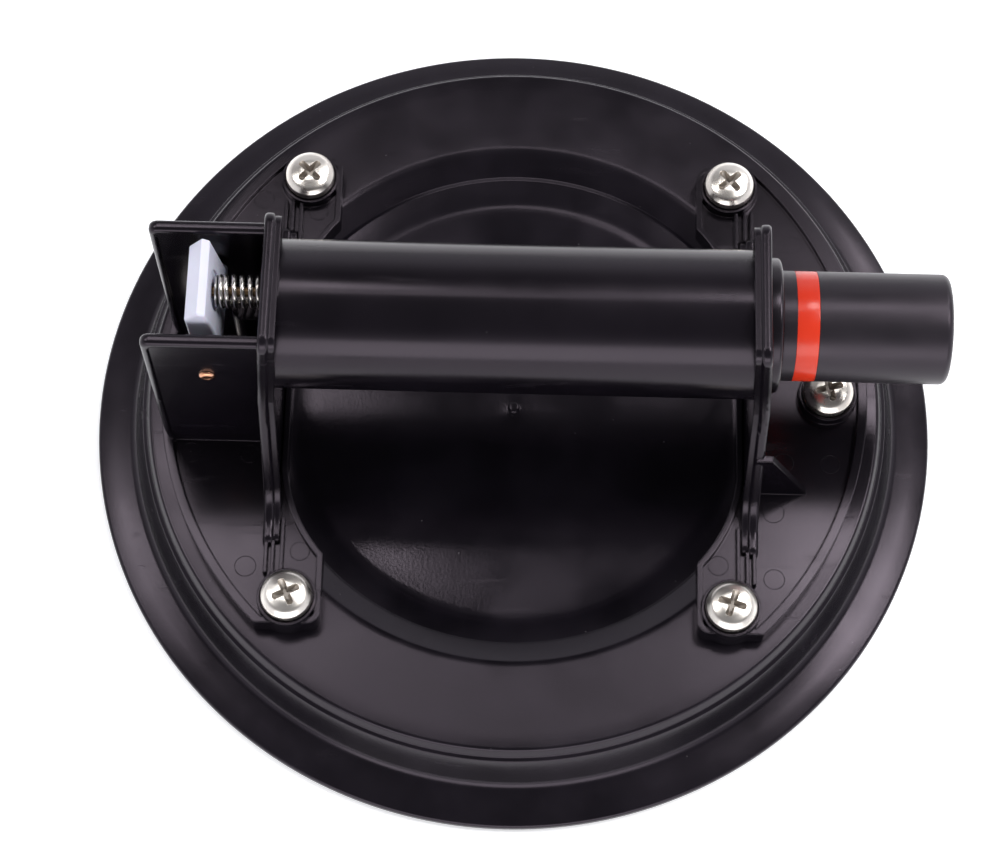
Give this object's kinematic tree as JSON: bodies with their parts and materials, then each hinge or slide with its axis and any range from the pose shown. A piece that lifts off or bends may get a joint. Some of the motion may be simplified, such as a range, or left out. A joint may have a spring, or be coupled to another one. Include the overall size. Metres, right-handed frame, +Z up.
{
  "type": "floor tile suction lifter",
  "caption": "Hand vacuum lifter for floor tiles: a round rubber suction pad under a tubular grip that holds a push pump, with a thumb release lever.",
  "frame": {"origin": "centre of the round pad on the surface that its lip stands on", "axes": "+Z up out of the pad toward the grip, +X along the grip toward the pump plunger, +Y across the grip"},
  "size_m": [0.2032, 0.2032, 0.0829],
  "materials": {
    "pad_rubber": "satin",
    "frame_plastic": "gloss",
    "plunger_plastic": "satin",
    "red_plastic": "gloss",
    "white_plastic": "satin",
    "bush_plastic": "satin",
    "nickel_steel": "polished",
    "zinc_steel": "satin",
    "spring_steel": "polished",
    "insert_brass": "satin",
    "pin_copper": "polished",
    "liner_aluminium": "satin",
    "seal_rubber": "satin",
    "felt": "matte"
  },
  "bodies": {
    "lifter": {"suction_pad": "pad_rubber", "backing_ring": "zinc_steel", "threaded_inserts": "insert_brass", "flange_screws": "nickel_steel", "filter_disc": "felt", "port_gasket": "seal_rubber", "handle_frame": "frame_plastic", "cylinder_liner": "liner_aluminium", "guide_bush": "bush_plastic", "wiper_ring": "felt", "lever_pin": "pin_copper"},
    "plunger": {"plunger_tube": "plunger_plastic", "red_ring": "red_plastic", "piston": "bush_plastic", "piston_seal": "seal_rubber", "seal_retainer": "zinc_steel", "piston_screw": "zinc_steel", "return_spring": "spring_steel"},
    "lever": {"release_lever": "white_plastic"},
    "valve": {"valve_stem": "insert_brass", "valve_disc": "seal_rubber", "stem_clip": "zinc_steel", "valve_spring": "spring_steel"}
  },
  "joints": [
    {"name": "plunger_stroke", "type": "slide", "parent": "lifter", "child": "plunger", "axis": [-1, 0, 0], "range_m": [0, 0.03], "stiffness_N_per_m": 150, "deforming": ["return_spring"]},
    {"name": "lever_swing", "type": "hinge", "parent": "lifter", "child": "lever", "pos_m": [-0.0686, 0, 0.0621], "axis": [0, 1, 0], "range_deg": [0, 7.5], "stiffness_Nm_per_rad": 0.43},
    {"name": "valve_travel", "type": "slide", "parent": "lifter", "child": "valve", "axis": [1, 0, 0], "range_m": [0, 0.0017], "deforming": ["valve_spring"]}
  ],
  "couplings": [
    {"joint": "valve_travel", "follows": "lever_swing", "m_per_rad": 0.0128}
  ]
}
